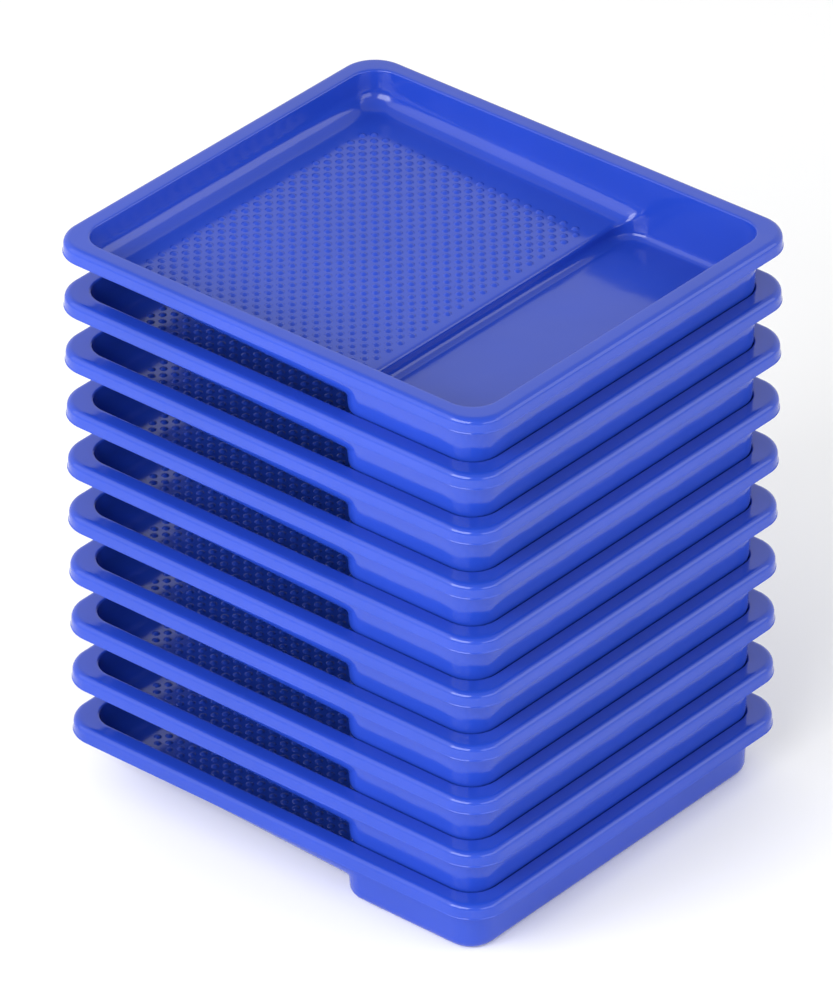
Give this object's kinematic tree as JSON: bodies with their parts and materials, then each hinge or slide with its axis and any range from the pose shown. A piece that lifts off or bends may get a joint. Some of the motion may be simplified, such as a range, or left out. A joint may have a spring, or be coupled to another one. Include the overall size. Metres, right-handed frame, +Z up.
{
  "type": "paint roller tray",
  "caption": "Stack of nested paint roller trays, each a thin moulded sheet with a turned-down rim, a deep well at one end and a studded ramp that falls to it.",
  "frame": {"origin": "on the surface the stack stands on, below the middle of the rims", "axes": "+Z up through the stack, +X along the ramp from the shallow end towards the well, +Y across the tray"},
  "size_m": [0.36, 0.32, 0.4107],
  "materials": {
    "blue_plastic": "gloss"
  },
  "bodies": {
    "tray_01": {"tray_01": "blue_plastic"},
    "tray_02": {"tray_02": "blue_plastic"},
    "tray_03": {"tray_03": "blue_plastic"},
    "tray_04": {"tray_04": "blue_plastic"},
    "tray_05": {"tray_05": "blue_plastic"},
    "tray_06": {"tray_06": "blue_plastic"},
    "tray_07": {"tray_07": "blue_plastic"},
    "tray_08": {"tray_08": "blue_plastic"},
    "tray_09": {"tray_09": "blue_plastic"},
    "tray_10": {"tray_10": "blue_plastic"}
  },
  "joints": [
    {"name": "lift_tray_02", "type": "slide", "parent": "tray_01", "child": "tray_02", "axis": [0, 0, 1], "range_m": [0, 0.06]},
    {"name": "lift_tray_03", "type": "slide", "parent": "tray_02", "child": "tray_03", "axis": [0, 0, 1], "range_m": [0, 0.06]},
    {"name": "lift_tray_04", "type": "slide", "parent": "tray_03", "child": "tray_04", "axis": [0, 0, 1], "range_m": [0, 0.06]},
    {"name": "lift_tray_05", "type": "slide", "parent": "tray_04", "child": "tray_05", "axis": [0, 0, 1], "range_m": [0, 0.06]},
    {"name": "lift_tray_06", "type": "slide", "parent": "tray_05", "child": "tray_06", "axis": [0, 0, 1], "range_m": [0, 0.06]},
    {"name": "lift_tray_07", "type": "slide", "parent": "tray_06", "child": "tray_07", "axis": [0, 0, 1], "range_m": [0, 0.06]},
    {"name": "lift_tray_08", "type": "slide", "parent": "tray_07", "child": "tray_08", "axis": [0, 0, 1], "range_m": [0, 0.06]},
    {"name": "lift_tray_09", "type": "slide", "parent": "tray_08", "child": "tray_09", "axis": [0, 0, 1], "range_m": [0, 0.06]},
    {"name": "lift_tray_10", "type": "slide", "parent": "tray_09", "child": "tray_10", "axis": [0, 0, 1], "range_m": [0, 0.06]}
  ]
}
